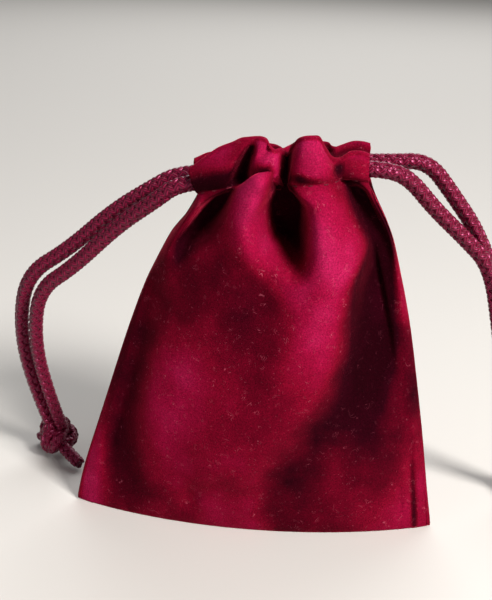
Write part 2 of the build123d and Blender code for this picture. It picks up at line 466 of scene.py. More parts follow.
def make_camera():
    """The camera stands in front of the pouch, a little above it and rolled slightly."""
    elevation = math.radians(CAMERA_ELEVATION)
    azimuth = math.radians(CAMERA_AZIMUTH)
    roll = math.radians(CAMERA_ROLL)
    back = Vector((
        math.sin(azimuth) * math.cos(elevation),
        -math.cos(azimuth) * math.cos(elevation),
        math.sin(elevation),
    ))
    level = Vector((0, 0, 1)).cross(back).normalized()
    upright = back.cross(level)
    right = level * math.cos(roll) + upright * math.sin(roll)
    up = upright * math.cos(roll) - level * math.sin(roll)
    data = bpy.data.cameras.new("camera")
    data.lens = CAMERA_LENS
    data.clip_start = 0.01
    data.clip_end = 20.0
    camera = link("camera", data)
    place = (Vector(CAMERA_TARGET) + back * CAMERA_DISTANCE) * MM
    camera.matrix_world = Matrix((right, up, back)).transposed().to_4x4()
    camera.location = place
    bpy.context.scene.camera = camera


def area_light(name, place, target, size, power, colour):
    """A square area light that faces the target; places in metres."""
    data = bpy.data.lights.new(name, "AREA")
    data.size = size
    data.energy = power
    data.color = colour
    light = link(name, data)
    light.location = Vector(place)
    direction = Vector(target) - Vector(place)
    light.rotation_euler = direction.to_track_quat("-Z", "Y").to_euler()


def make_stage():
    """A pale floor and soft studio light, with the key from the right, in front and above."""
    mesh = bpy.data.meshes.new("floor")
    half = 3.0
    corners = [(-half, -half, 0), (half, -half, 0), (half, half, 0), (-half, half, 0)]
    mesh.from_pydata(corners, [], [(0, 1, 2, 3)])
    floor = link("floor", mesh)
    mesh.materials.append(floor_material())
    area_light("key", (0.35, -0.33, 0.42), (0.0, 0.0, 0.035), 0.16, 6.3, (1.0, 0.97, 0.94))
    area_light("fill", (-0.45, -0.35, 0.30), (0.0, 0.0, 0.04), 0.5, 0.5, (0.92, 0.94, 1.0))
    area_light("rim", (0.10, 0.80, 0.80), (0.0, 0.0, 0.05), 1.0, 8.0, (1.0, 1.0, 1.0))
    world = bpy.data.worlds.new("world")
    bpy.context.scene.world = world
    world.use_nodes = True
    backdrop = world.node_tree.nodes["Background"]
    backdrop.inputs[0].default_value = (0.80, 0.79, 0.78, 1.0)
    backdrop.inputs[1].default_value = 0.22
    bpy.context.scene.view_settings.view_transform = "Standard"


def nurbs_line(points, spacing):
    """The smooth line of a route, as evenly spaced points in millimetres."""
    data = bpy.data.curves.new("route", "CURVE")
    data.dimensions = "3D"
    data.resolution_u = 24
    spline = data.splines.new("NURBS")
    spline.points.add(len(points) - 1)
    for control, place in zip(spline.points, points):
        control.co = (*place, 1.0)
    spline.order_u = 3
    spline.use_endpoint_u = True
    obj = link("route", data)
    mesh = bpy.data.meshes.new_from_object(obj)
    line = np.array([v.co for v in mesh.vertices], float)
    bpy.data.objects.remove(obj)
    bpy.data.meshes.remove(mesh)
    return even(line, spacing)


def even(line, spacing):
    """The same line with points about spacing apart."""
    steps = np.linalg.norm(np.diff(line, axis=0), axis=1)
    along = np.concatenate([[0.0], np.cumsum(steps)])
    count = max(3, int(round(along[-1] / spacing)) + 1)
    wanted = np.linspace(0.0, along[-1], count)
    return np.column_stack([np.interp(wanted, along, line[:, k]) for k in range(3)])


def frames_along(line):
    """Unit tangents and two normals along a line, turned as little as possible."""
    tangents = np.gradient(line, axis=0)
    tangents /= np.linalg.norm(tangents, axis=1)[:, None]
    side = np.cross(tangents[0], (0.0, 0.0, 1.0))
    if np.linalg.norm(side) < 0.1:
        side = np.cross(tangents[0], (0.0, 1.0, 0.0))
    normals = []
    for tangent in tangents:
        side = side - tangent * side.dot(tangent)
        side /= np.linalg.norm(side)
        normals.append(side)
    normals = np.array(normals)
    return tangents, normals, np.cross(tangents, normals)


class MeshParts:
    """Collects closed tubes and turns them into one mesh with UVs in millimetres along each tube."""

    def __init__(self):
        self.points = []
        self.faces = []
        self.uvs = []
        self.count = 0

    def tube(self, rings, along):
        """A tube through rings of points, shaped (rings, around, 3), closed with a fan at both ends."""
        length, around = rings.shape[:2]
        start = self.count
        ends = [rings[0].mean(axis=0), rings[-1].mean(axis=0)]
        self.points.append(rings.reshape(-1, 3))
        self.points.append(np.array(ends))
        self.count += length * around + 2
        for i in range(length - 1):
            for j in range(around):
                k = (j + 1) % around
                a = start + i * around
                b = a + around
                self.faces.append((a + j, a + k, b + k, b + j))
                self.uvs += [
                    (j / around, along[i]), ((j + 1) / around, along[i]),
                    ((j + 1) / around, along[i + 1]), (j / around, along[i + 1]),
                ]
        first = start + length * around
        last_ring = start + (length - 1) * around
        for j in range(around):
            k = (j + 1) % around
            self.faces.append((start + k, start + j, first))
            self.faces.append((last_ring + j, last_ring + k, first + 1))
            self.uvs += [(0.0, 0.0)] * 6

    def finish(self, name, material):
        """One smooth object made of all tubes so far."""
        mesh = bpy.data.meshes.new(name)
        points = np.concatenate(self.points) * MM
        mesh.from_pydata(points.tolist(), [], self.faces)
        layer = mesh.uv_layers.new(name="UVMap")
        layer.data.foreach_set("uv", np.array(self.uvs, np.float32).ravel())
        mesh.polygons.foreach_set("use_smooth", [True] * len(mesh.polygons))
        mesh.materials.append(material)
        mesh.update()
        return link(name, mesh)


def around_line(line, normals, sides, radius, angles):
    """Rings of points around a line, one ring for each of its points."""
    cos, sin = np.cos(angles), np.sin(angles)
    return line[:, None, :] + radius * (
        normals[:, None, :] * cos[None, :, None] + sides[:, None, :] * sin[None, :, None]
    )


def braid(parts, line, diameter, taper_end=False):
    """A round eight-yarn braid along a line: four yarns each way that pass over and under one another."""
    _, normals, sides = frames_along(line)
    steps = np.linalg.norm(np.diff(line, axis=0), axis=1)
    along = np.concatenate([[0.0], np.cumsum(steps)])
    pitch = 2.7 * diameter
    centre_radius = 0.30 * diameter
    wave = 0.065 * diameter
    wide = 0.20 * diameter
    thin = 0.145 * diameter
    core = 0.24 * diameter
    shrink = np.ones(len(line))
    if taper_end:
        taper = 0.35 * diameter
        shrink = np.clip((along[-1] - along) / taper, 0.0, 1.0) ** 0.5 * 0.3 + 0.7
    angles = np.linspace(0, 2 * math.pi, 8, endpoint=False)
    cos, sin = np.cos(angles), np.sin(angles)
    for turn in (1, -1):
        start = 0.0 if turn > 0 else math.pi / 4
        phase = 0.0 if turn > 0 else math.pi
        for carrier in range(4):
            angle = turn * 2 * math.pi * along / pitch + carrier * math.pi / 2 + start
            radius = (centre_radius + turn * wave * np.cos(4 * angle + phase)) * shrink
            outward = normals * np.cos(angle)[:, None] + sides * np.sin(angle)[:, None]
            centre = line + outward * radius[:, None]
            heading = np.gradient(centre, axis=0)
            heading /= np.linalg.norm(heading, axis=1)[:, None]
            across = np.cross(heading, outward)
            across /= np.linalg.norm(across, axis=1)[:, None]
            up = np.cross(across, heading)
            rings = (
                centre[:, None, :]
                + across[:, None, :] * (wide * cos)[None, :, None]
                + up[:, None, :] * (thin * sin)[None, :, None]
            )
            parts.tube(rings, along)
    parts.tube(around_line(line, normals, sides, core, angles), along)


def thread(parts, line, diameter):
    """A plain round thread along a line."""
    _, normals, sides = frames_along(line)
    angles = np.linspace(0, 2 * math.pi, 8, endpoint=False)
    uv_step = 0.25
    parts.tube(around_line(line, normals, sides, 0.5 * diameter, angles), np.arange(len(line)) * uv_step)


def knot_line(centre, tilt):
    """An overhand knot's own path: a closed trefoil, tilted about the cord's direction."""
    angle = np.linspace(0, 2 * math.pi, 150)
    reach = KNOT_RADIUS + KNOT_SWING * np.cos(3 * angle)
    x = reach * np.cos(2 * angle)
    z = reach * np.sin(2 * angle)
    y = KNOT_SWING * np.sin(3 * angle)
    about_x = Matrix.Rotation(math.radians(tilt[0]), 3, "X")
    about_z = Matrix.Rotation(math.radians(tilt[1]), 3, "Z")
    return np.column_stack([x, y, z]) @ np.array(about_x @ about_z).T + np.array(centre)


def make_braids(material):
    """The braided pieces of both cords, each free strand with its line."""
    made = {}
    for name, points in CORD_ROUTES.items():
        line = nurbs_line(points, CORD_STEP)
        parts = MeshParts()
        braid(parts, line, CORD_DIAMETER)
        made[name] = (parts.finish(name + "_braid", material), line)
    for name, points in CASING_RUNS.items():
        parts = MeshParts()
        braid(parts, nurbs_line(points, HIDDEN_CORD_STEP), CORD_IN_CASING)
        made[name] = (parts.finish(name + "_braid", material), None)
    for name, ends in TAILS.items():
        parts = MeshParts()
        for points in ends:
            braid(parts, nurbs_line(points, CORD_STEP), CORD_DIAMETER, taper_end=True)
        made[name] = (parts.finish(name + "_braid", material), None)
    for side, centre, tilt in (("left", LEFT_KNOT, (-30, 25)), ("right", RIGHT_KNOT, (-20, -35))):
        parts = MeshParts()
        for turn in (0, 60):
            line = knot_line(centre, (tilt[0], tilt[1] + turn))
            braid(parts, even(line, CORD_STEP), CORD_IN_KNOT)
        name = side + "_cord_knot"
        made[name] = (parts.finish(name + "_braid", material), None)
    return made


def make_cords(material):
    """Free strands, knots, tails and the hidden run of each cord, each on its cord's body."""
    made = make_braids(material)
    strands = ("_cord_front_strand", "_cord_back_strand")
    others = ("_cord_casing_run", "_cord_knot", "_cord_tails")
    for side in ("left", "right"):
        body = side + "_cord"
        for part in strands + others:
            piece = made[side + part][0]
            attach(piece, body)
            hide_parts(side + part)
        for part in strands:
            piece, line = made[side + part]


def catmull_rom(points, per_span=14):
    """A smooth curve through rows of numbers, with per_span samples in each span."""
    points = np.array(points, float)
    padded = np.vstack([2 * points[0] - points[1], points, 2 * points[-1] - points[-2]])
    t = np.linspace(0, 1, per_span, endpoint=False)[:, None]
    samples = []
    for a, b, c, d in zip(padded, padded[1:], padded[2:], padded[3:]):
        samples.append(0.5 * (
            2 * b + (c - a) * t + (2 * a - 5 * b + 4 * c - d) * t**2 + (3 * b - a - 3 * c + d) * t**3
        ))
    samples.append(points[-1:])
    return np.vstack(samples)


def ring_columns(ring):
    """The mouth ring sampled evenly along the stitch line, one row for each column of cloth."""
    curve = catmull_rom(ring)
    steps = np.linalg.norm(np.diff(curve[:, :3], axis=0), axis=1)
    along = np.concatenate([[0.0], np.cumsum(steps)])
    wanted = np.linspace(0, along[-1], COLUMNS + 1)
    return np.column_stack([np.interp(wanted, along, curve[:, k]) for k in range(6)])


def level_at(heights):
    """Left seam, right seam and belly depths at an array of heights, as smooth curves."""
    curve = catmull_rom(LEVELS)
    return [np.interp(heights, curve[:, 0], curve[:, k]) for k in range(1, 5)]


def lens(share, height, side):
    """The plain belly shape without folds, at shares of the width and heights."""
    left, right, front, back = level_at(height)
    depth = front if side < 0 else back
    across = 1 - (2 * share - 1) ** 2
    x = left + (right - left) * share
    y = side * depth * across ** 0.9
    return np.stack([x, y, height], axis=-1)


def blurred(values, width):
    """Values smoothed along the columns with a bell curve, or as they are when it is very narrow."""
    narrowest = 0.004
    share = np.linspace(0, 1, COLUMNS + 1)
    if width < narrowest:
        return values
    weights = np.exp(-0.5 * ((share[:, None] - share[None, :]) / width) ** 2)
    weights /= weights.sum(axis=1)[:, None]
    return weights @ values


def smooth(value):
    """A soft step from 0 to 1 between 0 and 1."""
    value = np.clip(value, 0.0, 1.0)
    return value * value * (3 - 2 * value)


def bell(value):
    """A bell curve of height 1 at 0."""
    return np.exp(-value * value)


# folds: (x, z, height outwards, half width on the left of the line, half width on its right), going down
FRONT_FOLDS = [
    # the deep almond-shaped fold under the mouth
    [(3.7, 70.2, -1.5, 0.9, 0.9), (3.9, 68.2, -6.0, 1.5, 2.6), (4.2, 66.2, -9.0, 2.0, 3.7),
     (4.6, 64.6, -9.5, 3.6, 3.7), (4.9, 63.0, -9.5, 4.8, 3.7), (5.3, 61.2, -9.0, 4.6, 3.4),
     (5.9, 59.4, -7.6, 3.6, 3.0), (6.7, 56.8, -4.6, 2.4, 2.2), (7.1, 54.0, 0.0, 1.1, 1.4)],
    [(0.2, 67.8, 0.4, 1.4, 1.6), (0.9, 66.4, 1.5, 1.8, 1.8), (0.8, 65.0, 0.6, 1.6, 1.6)],
    # the slanting fold at the left shoulder, with a ridge on each side
    [(-5.0, 69.0, -2.0, 1.0, 0.9), (-6.2, 67.4, -5.0, 1.3, 1.3), (-7.8, 65.4, -6.5, 1.6, 1.7),
     (-10.1, 62.8, -6.5, 1.7, 2.0), (-12.1, 60.5, -5.0, 1.7, 2.0), (-14.0, 58.2, -2.6, 1.6, 1.8),
     (-16.0, 55.5, 0.0, 1.4, 1.6)],
    [(-11.0, 67.6, 0.6, 1.0, 1.0), (-12.6, 64.6, 2.0, 1.3, 1.4), (-14.6, 61.2, 2.6, 1.4, 1.6),
     (-16.4, 58.0, 2.4, 1.6, 2.0), (-18.6, 53.0, 1.2, 2.0, 3.0), (-20.0, 48.0, 0.0, 2.0, 3.0)],
    # the long fold from the right of the mouth down to the left
    [(15.4, 71.6, -1.0, 1.0, 1.0), (16.4, 69.6, -3.6, 1.3, 1.5), (18.8, 65.4, -5.4, 1.8, 2.0),
     (21.4, 60.6, -5.8, 2.0, 2.2), (22.2, 56.0, -5.4, 2.8, 2.6), (21.8, 50.0, -4.8, 3.8, 3.6),
     (21.8, 44.0, -4.2, 4.6, 4.6), (21.8, 38.0, -3.4, 5.4, 5.8), (20.6, 32.0, -2.4, 6.4, 7.0),
     (17.8, 25.7, -1.6, 7.0, 8.0), (13.6, 19.9, -1.2, 7.2, 9.0), (9.6, 13.0, -0.9, 7.2, 9.0),
     (7.0, 5.5, -0.6, 7.0, 9.0)],
    # the broad ridge between them
    [(9.5, 68.0, 0.6, 4.0, 4.0), (12.4, 63.0, 2.0, 4.0, 5.0), (14.4, 58.0, 2.8, 5.0, 4.6),
     (13.6, 51.0, 2.8, 6.0, 4.6), (12.4, 43.0, 2.6, 8.0, 4.8), (10.0, 34.0, 2.6, 9.0, 5.4),
     (4.0, 25.0, 2.2, 9.0, 5.6), (-3.0, 17.0, 1.4, 9.0, 6.0)],
    # the full ridge left of the deep fold, which overhangs it
    [(-1.4, 70.0, 0.6, 3.6, 3.0), (-2.0, 67.4, 2.2, 4.4, 3.0), (-2.2, 64.4, 2.6, 4.4, 2.4),
     (-1.0, 60.6, 2.2, 4.2, 2.4), (2.0, 56.4, 1.4, 4.0, 2.6), (5.4, 52.6, 0.6, 4.0, 3.0)],
    # the soft hollow along the left side
    [(-17.0, 53.0, 0.0, 2.6, 3.4), (-20.2, 47.0, -1.2, 2.6, 3.6), (-23.6, 38.0, -1.5, 2.8, 4.2),
     (-26.2, 26.0, -2.4, 3.0, 4.6), (-27.2, 15.0, -2.2, 3.0, 5.0), (-26.4, 6.0, -1.0, 3.0, 5.0)],
    # the seam's own ridge and groove along the right side
    [(24.0, 56.0, 0.0, 1.4, 1.4), (26.0, 50.0, 0.3, 1.5, 1.6), (28.2, 42.0, 0.7, 1.6, 1.8),
     (31.0, 26.0, 1.0, 1.6, 1.8), (33.4, 12.0, 0.9, 1.5, 1.8), (34.6, 2.0, 0.5, 1.4, 1.8)],
    [(30.0, 22.0, 0.0, 0.5, 0.6), (31.2, 14.0, -1.0, 0.5, 0.6), (32.2, 6.0, -1.1, 0.5, 0.6),
     (32.8, 0.0, -0.6, 0.5, 0.6)],
    [(28.6, 12.0, 0.0, 0.5, 0.5), (29.4, 7.0, -0.6, 0.5, 0.5), (29.8, 1.0, -0.5, 0.5, 0.5)],
    # a small dent near the bottom
    [(-10.6, 11.0, 0.0, 1.4, 1.8), (-11.6, 7.0, -1.0, 1.4, 1.8), (-12.8, 3.0, -0.6, 1.4, 1.8)],
]
# folds of the front casing, laid out in the same way
FRONT_CASING_FOLDS = [
    # the dark three-cornered gap between the first two lobes
    [(-4.1, 69.2, -3.4, 1.7, 1.6), (-3.9, 71.0, -3.4, 1.7, 1.5), (-3.3, 73.4, -3.1, 1.4, 1.1),
     (-2.4, 75.6, -2.3, 1.0, 0.8), (-1.4, 77.3, -0.4, 0.6, 0.5)],
    # the crease under the notch of the second lobe
    [(1.6, 77.4, -0.6, 0.5, 0.5), (0.9, 76.4, -1.0, 0.6, 0.5), (-0.2, 75.4, -0.5, 0.6, 0.5)],
]
# folds of the back: three gathers, a ridge between two of them, and a hollow along the side
BACK_FOLDS = [
    [(-5.4, 69.0, -2.0, 1.4, 1.4), (-6.6, 64.0, -4.5, 2.0, 2.0), (-9.0, 57.0, -3.0, 2.6, 3.0),
     (-13.0, 46.0, -1.0, 3.0, 4.0), (-16.0, 36.0, 0.0, 3.0, 4.0)],
    [(3.0, 69.5, -3.0, 1.4, 1.4), (2.6, 64.0, -6.0, 2.2, 2.2), (1.6, 57.0, -4.0, 2.4, 3.0),
     (-1.0, 48.0, -1.2, 3.0, 4.0), (-3.0, 38.0, 0.0, 3.0, 4.0)],
    [(12.4, 70.0, -2.4, 1.4, 1.4), (14.0, 64.0, -5.0, 2.0, 2.2), (17.0, 55.0, -3.6, 2.8, 3.0),
     (20.0, 42.0, -2.2, 4.0, 4.6), (19.0, 28.0, -1.6, 5.0, 6.0), (14.0, 14.0, -0.6, 5.0, 6.0)],
    [(8.0, 64.0, 1.0, 3.0, 3.0), (8.6, 54.0, 1.8, 4.0, 4.0), (7.0, 40.0, 1.6, 6.0, 6.0),
     (2.0, 24.0, 1.0, 8.0, 8.0)],
    [(-20.0, 44.0, 0.0, 3.0, 4.0), (-24.0, 30.0, -1.6, 3.4, 5.0), (-27.0, 14.0, -1.0, 3.4, 5.0)],
]
# painted shade (negative) and painted highlight (positive) strokes along the folds and ridges, laid out
# like the folds
FRONT_PAINTED_SHADING = [
    [(3.8, 70.4, -2.4, 1.3, 1.4), (4.0, 67.6, -2.6, 1.6, 3.2), (4.8, 63.2, -2.4, 4.0, 3.2),
     (5.9, 59.4, -1.5, 2.9, 2.6), (7.0, 55.4, -0.4, 1.4, 1.6)],
    [(-5.4, 68.6, -1.3, 1.4, 1.3), (-7.8, 65.4, -1.5, 2.0, 2.0), (-12.1, 60.5, -1.4, 2.0, 2.2),
     (-14.6, 57.4, -1.0, 1.8, 2.2), (-17.0, 53.6, -0.2, 1.6, 2.4)],
    [(15.8, 70.8, -1.6, 1.2, 1.3), (18.6, 65.4, -2.0, 1.8, 2.0), (21.4, 60.0, -2.2, 2.0, 2.4),
     (22.2, 54.0, -2.4, 4.8, 2.4), (22.0, 46.0, -2.4, 5.4, 3.8), (21.8, 38.0, -1.9, 5.8, 4.8),
     (20.2, 32.0, -1.1, 5.8, 6.4), (16.8, 25.7, -0.8, 5.4, 7.4), (12.4, 19.9, -0.75, 5.2, 8.4),
     (8.4, 13.0, -0.85, 5.0, 9.4), (6.2, 5.0, -0.95, 4.8, 10.0)],
    [(-15.0, 60.0, -0.6, 3.0, 3.0), (-15.4, 54.0, -0.6, 4.6, 4.6), (-15.0, 48.0, -0.35, 4.6, 5.0)],
    [(-19.8, 49.1, -0.3, 3.0, 3.6), (-22.7, 40.9, -0.5, 3.0, 3.8), (-25.2, 32.6, -0.7, 3.0, 3.8),
     (-26.8, 22.0, -0.9, 3.0, 4.4), (-27.0, 13.0, -0.8, 3.0, 4.6), (-25.6, 5.0, -0.4, 3.0, 5.0)],
    [(-7.6, 62.0, -0.4, 2.4, 2.6), (-9.0, 57.0, -0.4, 5.0, 6.0), (-8.0, 51.0, -0.35, 8.0, 8.0),
     (-6.0, 45.0, -0.2, 8.0, 9.0)],
    [(1.0, 50.0, -0.2, 5.0, 4.0), (0.0, 40.0, -0.25, 6.0, 5.0), (2.0, 32.0, -0.1, 5.0, 5.0)],
    [(9.4, 68.4, 0.6, 3.0, 3.6), (13.0, 61.0, 0.7, 4.0, 5.0), (12.6, 52.0, 0.7, 4.6, 4.2),
     (12.0, 43.0, 0.45, 5.0, 4.2), (9.0, 34.0, 0.3, 6.0, 4.6)],
    [(-1.4, 71.6, 0.9, 4.0, 3.4), (-1.4, 67.0, 1.1, 3.4, 3.2), (-0.8, 61.6, 0.8, 3.4, 3.2),
     (2.6, 57.0, 0.6, 3.4, 3.2), (7.0, 53.0, 0.5, 3.0, 3.0)],
    [(-11.0, 67.0, 0.4, 1.4, 1.0), (-13.8, 62.4, 0.6, 1.8, 1.4), (-17.0, 57.0, 0.5, 2.0, 1.8)],
    [(-19.3, 38.4, 0.1, 3.0, 5.0), (-16.0, 30.0, 0.4, 4.0, 9.0), (-12.0, 20.0, 0.5, 7.0, 12.0),
     (-11.0, 8.0, 0.3, 7.0, 12.0)],
    [(-32.0, 16.0, 0.3, 2.0, 1.6), (-32.4, 8.0, 0.8, 3.0, 2.4), (-33.0, 1.0, 0.9, 3.0, 3.2)],
    [(20.6, 66.0, -0.3, 1.2, 1.4), (25.0, 56.0, 0.1, 1.2, 1.4), (27.2, 47.0, 0.2, 1.4, 1.8),
     (28.8, 40.0, -0.35, 1.6, 2.0), (30.6, 30.0, -0.5, 1.8, 2.4), (32.4, 20.0, -0.1, 1.8, 2.2),
     (34.6, 2.0, 0.1, 2.0, 1.8)],
    [(30.8, 17.0, -0.1, 0.5, 0.5), (31.6, 11.0, -0.9, 0.5, 0.5), (32.3, 5.0, -1.3, 0.6, 0.6),
     (32.8, 0.6, -1.1, 0.6, 0.6)],
    [(25.0, 24.0, -0.3, 4.0, 4.0), (24.0, 16.0, -0.45, 6.0, 6.0), (22.0, 4.0, -0.5, 8.0, 8.0)],
]
# front casing strokes: painted shade (negative) in its gaps and under its lobes, painted highlight
# (positive) on the lobes
FRONT_CASING_PAINTED_SHADING = [
    [(-12.6, 68.4, -1.2, 1.8, 1.6), (-10.4, 69.2, -1.3, 2.0, 2.0), (-8.0, 69.9, -1.4, 2.3, 2.3),
     (-5.8, 70.6, -1.4, 2.2, 2.0)],
    [(-4.2, 69.6, -1.8, 1.9, 1.5), (-3.8, 72.0, -1.8, 1.7, 1.3), (-3.1, 74.2, -1.8, 1.3, 1.0),
     (-2.2, 76.2, -1.4, 0.8, 0.6)],
    [(-9.6, 72.6, 0.2, 2.0, 2.0), (-7.0, 74.6, 0.3, 2.0, 2.0)],
    [(-1.8, 72.2, -0.3, 1.0, 1.0), (0.0, 72.8, -0.9, 1.1, 1.0), (1.6, 73.0, -0.8, 1.0, 0.9)],
    [(3.9, 69.2, -2.4, 1.0, 0.9), (4.1, 75.0, -2.4, 1.0, 0.8)],
    [(5.6, 71.9, -0.6, 0.8, 0.8), (6.8, 72.2, -1.5, 1.0, 0.9), (8.3, 71.9, -1.2, 0.8, 0.8),
     (10.2, 71.9, -0.5, 0.6, 0.6)],
    [(13.9, 71.6, -0.2, 0.6, 0.6), (13.4, 73.4, -0.9, 0.9, 0.9)],
    [(8.2, 78.4, 1.0, 3.4, 3.4), (9.0, 74.8, 1.1, 3.6, 3.4)],
    [(16.6, 74.6, 0.5, 2.0, 2.0), (18.4, 73.0, 0.4, 1.6, 1.6)],
    [(-0.2, 77.2, 1.1, 1.2, 1.4), (0.4, 75.4, 1.1, 1.6, 1.6), (2.2, 75.0, 1.1, 1.2, 1.0),
     (2.7, 71.6, 0.9, 0.8, 0.8)],
    [(-1.6, 74.6, 0.7, 0.5, 0.6), (-2.2, 71.8, 0.7, 0.5, 0.7)],
]
# back strokes: painted shade (negative) along its gathers, painted highlight (positive) on the ridge
# between them
BACK_PAINTED_SHADING = [
    [(-6.6, 64.0, -0.8, 2.0, 2.2), (-10.0, 54.0, -0.6, 3.0, 4.0), (-14.0, 40.0, -0.3, 4.0, 5.0)],
    [(2.6, 64.0, -0.9, 2.4, 2.4), (1.0, 54.0, -0.7, 3.0, 3.6), (-2.0, 40.0, -0.3, 4.0, 5.0)],
    [(14.4, 64.0, -0.9, 2.2, 2.4), (18.0, 52.0, -0.8, 3.2, 3.6), (20.0, 36.0, -0.7, 5.0, 6.0),
     (14.0, 16.0, -0.5, 6.0, 8.0)],
    [(8.4, 62.0, 0.5, 4.0, 4.0), (8.0, 46.0, 0.5, 6.0, 6.0), (3.0, 26.0, 0.4, 9.0, 9.0)],
    [(-20.0, 34.0, -0.2, 4.0, 6.0), (-26.0, 16.0, -0.5, 4.0, 6.0)],
]


def fold_height(folds, x, z):
    """How far the folds push each point of the cloth outward."""
    total = np.zeros_like(x)
    for fold in folds:
        curve = catmull_rom(fold)
        heading = np.gradient(curve[:, :2], axis=0)
        dx = x[..., None] - curve[:, 0]
        dz = z[..., None] - curve[:, 1]
        nearest = np.argmin(dx * dx + dz * dz, axis=-1)
        dx = x - curve[nearest, 0]
        dz = z - curve[nearest, 1]
        on_right = heading[nearest, 0] * dz - heading[nearest, 1] * dx > 0
        width = np.where(on_right, curve[nearest, 4], curve[nearest, 3])
        total += curve[nearest, 2] * np.exp(-((np.hypot(dx, dz) / width) ** 3))
    return total


def softened(grid, rounds):
    """The grid with small kinks smoothed away, its border kept."""
    for _ in range(rounds):
        inner = grid[1:-1, 1:-1]
        around = grid[:-2, 1:-1] + grid[2:, 1:-1] + grid[1:-1, :-2] + grid[1:-1, 2:]
        grid[1:-1, 1:-1] = 0.5 * inner + 0.125 * around
    return grid


def plain_belly(side, stitch, share, down):
    """The belly without folds: rows from the stitch line to the floor, where the gathers run out."""
    offset = stitch - lens(share, stitch[:, 2], side)
    offset[:, 2] = 0.0
    rows = []
    for s in down:
        height = stitch[:, 2] * (1 - s)
        strength = (1 - smooth(s / GATHERS_RUN_OUT)) if s < GATHERS_RUN_OUT else 0.0
        gathers = blurred(offset, GATHERS_BLUR * s ** GATHERS_BLUR_POWER)
        rows.append(lens(share, height, side) + gathers * strength)
    return np.array(rows)


def deepest_folds(body, flat, side, share, at_edge):
    """How far in a fold may go: clear of the cords, of the seam's turnings and of the other side."""
    other = lens(share[None, :] + 0 * body[..., 2], body[..., 2], -side)[..., 1]
    over_middle = -OVER_MIDDLE * np.abs(other)
    after_start = smooth((body[..., 0] - CORDS_FROM) / 1.5)
    before_end = 1 - smooth((body[..., 0] - CORDS_TO) / 1.5)
    along_cords = after_start * before_end * at_edge
    over_cords = CORD_ROOM - CORD_ROOM_SLOPE * np.clip(CORD_ROOM_HEIGHT - body[..., 2], 0.0, None)
    deepest = side * np.maximum(over_middle, over_cords - 12.0 * (1 - along_cords))
    from_seam = np.minimum(body[..., 0] - body[:, :1, 0], body[:, -1:, 0] - body[..., 0])
    beside = (1 - smooth((from_seam - TURNING_END) / 1.5)) * smooth(from_seam / 0.8)
    least = np.minimum(1.5, np.abs(flat[..., 1]) * 0.9)
    return deepest * (1 - beside) + side * least * beside


def held_out(body, flat, side, deepest):
    """The depths of the cloth, eased so that they come near the deepest place allowed but not past it."""
    room = side * (body[..., 1] - deepest)
    ease = np.clip(0.4 * np.abs(flat[..., 1]), 0.05, 1.5)
    eased = ease * np.exp(np.minimum(room / ease - 1, 0))
    return deepest + side * np.where(room > ease, room, eased)


def add_overhang(body, stitch, below):
    """Lifts the full ridge under the front casing, so that it stands out and covers the stitch line."""
    x = stitch[:, 0]
    hump = smooth((x - OVERHANG_FROM) / 6.6) * (1 - smooth((x - OVERHANG_TO) / 1.3))
    rise = (below / 3.0) * np.exp(1 - below / 3.0)
    body[..., 2] += OVERHANG_RISE * hump[None, :] * rise
    body[..., 1] -= OVERHANG_OUT * hump[None, :] * smooth(below / 3.0) * np.exp(-below / 10.0)


def body_rows(side, stitch):
    """The belly from the stitch line down to the floor with its folds, and its painted shade and
    highlight.
    """
    share = np.linspace(0, 1, COLUMNS + 1)
    down = np.linspace(0, 1, BODY_ROWS + 1) ** 1.2
    body = plain_belly(side, stitch, share, down)
    flat = body.copy()
    at_edge = smooth(np.minimum(share, 1 - share) / 0.04)[None, :]
    fade = smooth(down / 0.03)[:, None] * at_edge * smooth(body[..., 2] / 7.0)
    folds = fold_height(FRONT_FOLDS if side < 0 else BACK_FOLDS, body[..., 0], body[..., 2])
    body[..., 1] += side * folds * fade
    body[..., 1] = held_out(body, flat, side, deepest_folds(body, flat, side, share, at_edge))
    below = stitch[None, :, 2] - body[..., 2]
    body[..., 1] -= side * STITCH_SINK * bell(below / 0.9)
    if side < 0:
        add_overhang(body, stitch, below)
    # the two sides meet at the seams, a little below the casing
    closing = smooth(below[:, [0, -1]] / 3.5)
    for column, k in ((0, 0), (-1, 1)):
        body[:, column, 1] *= 1 - closing[:, k]
    body[-1, :, 2] = FLOOR_GAP
    # painted shade along the folds and hollows and painted highlight on the ridges, from the stroke
    # tables
    painted_shading = fold_height(FRONT_PAINTED_SHADING if side < 0 else BACK_PAINTED_SHADING, flat[..., 0], flat[..., 2])
    # painted highlight along the bottom fold
    painted_shading += 0.5 * (1 - smooth(flat[..., 2] / 0.7))
    return softened(body, 3), painted_shading


def casing_rows(side, stitch, top):
    """Rows up the outside of the casing, and their painted shade and highlight."""
    rows, shading_rows = [], []
    shading_strokes = FRONT_CASING_PAINTED_SHADING if side < 0 else []
    for t in np.linspace(0, 1, CASING_ROWS + 1)[1:]:
        row = stitch + (top - stitch) * t
        row[:, 1] += side * (CASING_BULGE * math.sin(math.pi * t) ** 0.8 - STITCH_SINK * bell(t / 0.10))
        if side < 0:
            inwards = fold_height(FRONT_CASING_FOLDS, row[:, 0], row[:, 2]) * smooth(t / 0.15)
            row[:, 1] = np.minimum(row[:, 1] - inwards, np.maximum(row[:, 1], -CASING_FOLD_LIMIT))
        rows.append(row)
        # painted shade and highlight strokes, and a painted highlight towards the top of the casing
        shading_rows.append(fold_height(shading_strokes, row[:, 0], row[:, 2]) + 0.25 * smooth((t - 0.8) / 0.2))
    return rows, shading_rows


